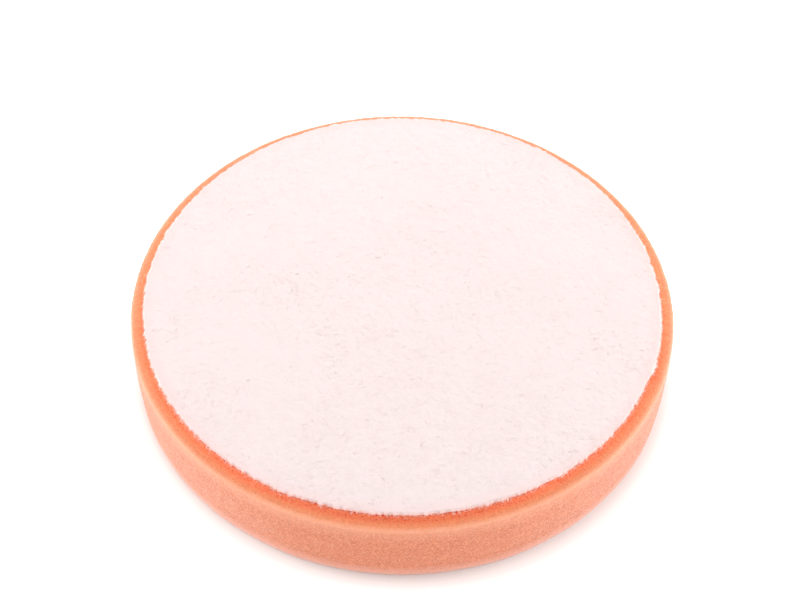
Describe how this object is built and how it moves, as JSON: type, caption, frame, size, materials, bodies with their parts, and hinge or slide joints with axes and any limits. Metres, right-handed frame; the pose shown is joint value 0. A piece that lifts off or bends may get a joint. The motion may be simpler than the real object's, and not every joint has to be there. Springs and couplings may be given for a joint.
{
  "type": "polishing pad",
  "caption": "Round foam polishing pad with a rounded rim and a fuzzy loop backing for a hook-faced backing plate.",
  "frame": {"origin": "centre of the flat working face, on the surface that the pad lies on", "axes": "+Z along the pad's axis, from the working face to the loop face; X and Y lie in the working face and are equivalent, because the pad is round"},
  "size_m": [0.158, 0.158, 0.0265],
  "materials": {
    "foam": "matte",
    "adhesive": "satin",
    "knitted_ground": "matte",
    "loop_nap": "matte"
  },
  "bodies": {
    "root": {"foam_disc": "foam", "adhesive_film": "adhesive", "backing_cloth": "knitted_ground", "loop_pile": "loop_nap"}
  },
  "joints": []
}
